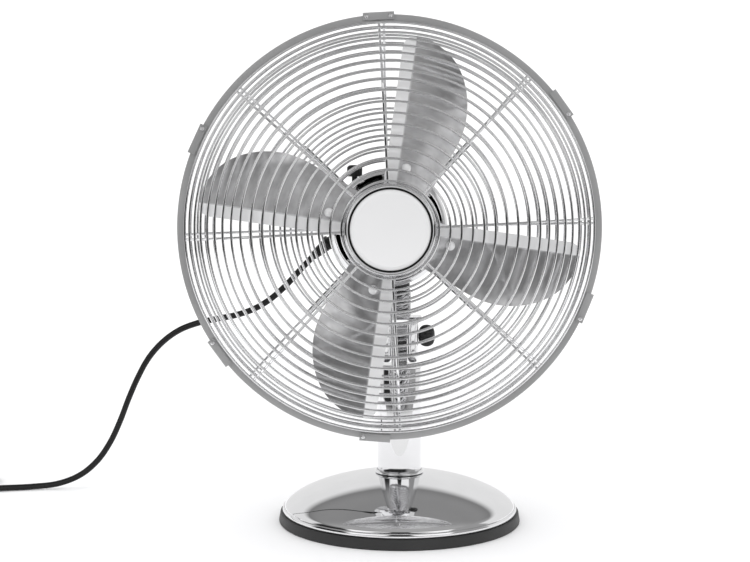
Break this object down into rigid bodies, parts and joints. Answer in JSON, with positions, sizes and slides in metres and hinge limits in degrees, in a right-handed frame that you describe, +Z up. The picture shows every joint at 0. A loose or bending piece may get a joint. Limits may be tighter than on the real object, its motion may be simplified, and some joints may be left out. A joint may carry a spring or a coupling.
{
  "type": "desk fan",
  "caption": "Chrome oscillating desk fan: domed round base, column, tilting neck, motor head with wire guard and metal blades, mains cord.",
  "frame": {"origin": "middle of the base tray underside, on the column axis, at table level", "axes": "+Z up along the column, -Y is where the fan blows, +X to the right of someone facing the badge"},
  "size_m": [0.646, 0.3693, 0.4315],
  "materials": {
    "chrome_bright": "bright chrome plate on steel, mirror finish",
    "satin_steel": "satin nickel-plated steel",
    "blade_aluminium": "brushed aluminium sheet",
    "plain_steel": "plain machined steel",
    "cast_iron": "rough casting, dark",
    "lamination": "varnished stack of steel sheets",
    "copper": "enamelled copper wire",
    "bronze": "sintered bronze",
    "black_plastic": "moulded black plastic, fine texture",
    "grey_plastic": "moulded grey plastic",
    "white_nylon": "moulded nylon",
    "badge_silver": "plain satin silver plate",
    "black_rubber": "soft black rubber",
    "cord_sheath": "flexible black PVC, slight sheen"
  },
  "bodies": {
    "root": {"base_tray": "black_plastic", "base_pad_1": "black_rubber", "base_pad_2": "black_rubber", "base_pad_3": "black_rubber", "base_dome": "chrome_bright", "base_weight": "cast_iron", "tie_rod": "plain_steel", "tie_nut": "plain_steel", "column_tube": "chrome_bright", "column_collar": "chrome_bright", "column_head": "chrome_bright", "cord_lower": "cord_sheath", "cord_coil": "cord_sheath", "plug": "cord_sheath"},
    "neck": {"neck_yoke": "chrome_bright", "neck_post": "chrome_bright", "tilt_bolt": "chrome_bright", "neck_screw_left": "chrome_bright", "neck_screw_right": "chrome_bright"},
    "tilt_clamp": {"tilt_knob": "black_plastic"},
    "link": {"oscillation_link": "plain_steel"},
    "head": {"pivot_stud": "plain_steel", "motor_mount": "cast_iron", "motor_front_cover": "chrome_bright", "motor_rear_cover": "chrome_bright", "stator_core": "lamination", "winding_front": "copper", "winding_rear": "copper", "bearing_front": "bronze", "bearing_rear": "bronze", "gearbox_housing": "black_plastic", "speed_switch": "grey_plastic", "cord_gland": "black_plastic", "rear_grille": "chrome_bright", "front_grille": "chrome_bright", "grille_nut": "black_plastic", "guard_clip_1": "satin_steel", "guard_clip_2": "satin_steel", "guard_clip_3": "satin_steel", "guard_clip_4": "satin_steel", "guard_clip_5": "satin_steel", "guard_clip_6": "satin_steel", "badge_ring": "chrome_bright", "badge_disc": "badge_silver", "cord_upper": "cord_sheath"},
    "rotor": {"rotor_shaft": "plain_steel", "blade_hub": "satin_steel", "blade_nut": "black_plastic", "blade_1": "blade_aluminium", "blade_2": "blade_aluminium", "blade_3": "blade_aluminium", "blade_4": "blade_aluminium", "blade_rivet_1": "chrome_bright", "blade_rivet_2": "chrome_bright", "blade_rivet_3": "chrome_bright", "blade_rivet_4": "chrome_bright"},
    "crank": {"worm_wheel": "white_nylon", "crank_disc": "plain_steel"},
    "swing_knob": {"oscillation_knob": "black_plastic"},
    "speed_dial": {"speed_knob": "black_plastic"}
  },
  "joints": [
    {"name": "tilt", "type": "hinge", "parent": "root", "child": "neck", "pos_m": [0, 0, 0.163], "axis": [-1, 0, 0], "range_deg": [-10, 25], "deforming": ["cord_lower"]},
    {"name": "clamp_turn", "type": "hinge", "parent": "neck", "child": "tilt_clamp", "pos_m": [0.024, 0, 0.163], "axis": [1, 0, 0], "range_deg": [0, 360]},
    {"name": "oscillation", "type": "hinge", "parent": "neck", "child": "head", "pos_m": [0, 0, 0.204], "axis": [0, 0, 1], "range_deg": [-40, 40], "deforming": ["cord_upper"]},
    {"name": "link_swing", "type": "hinge", "parent": "neck", "child": "link", "pos_m": [-0.006, 0.015, 0.196], "axis": [0, 0, 1], "range_deg": [-56, 56]},
    {"name": "blade_spin", "type": "hinge", "parent": "head", "child": "rotor", "pos_m": [-0.0098, -0.08, 0.2582], "axis": [0, 1, 0], "continuous": true},
    {"name": "crank_turn", "type": "hinge", "parent": "head", "child": "crank", "pos_m": [-0.0295, 0.033, 0.2], "axis": [0, 0, 1], "continuous": true},
    {"name": "knob_lift", "type": "slide", "parent": "head", "child": "swing_knob", "axis": [0, 0, 1], "range_m": [0, 0.006]},
    {"name": "speed_turn", "type": "hinge", "parent": "head", "child": "speed_dial", "pos_m": [-0.0098, 0.072, 0.2582], "axis": [0, 1, 0], "range_deg": [0, 135]}
  ],
  "couplings": [
    {"joint": "crank_turn", "follows": "blade_spin", "ratio": -0.05},
    {"joint": "link_swing", "follows": "oscillation", "ratio": 1.4}
  ]
}
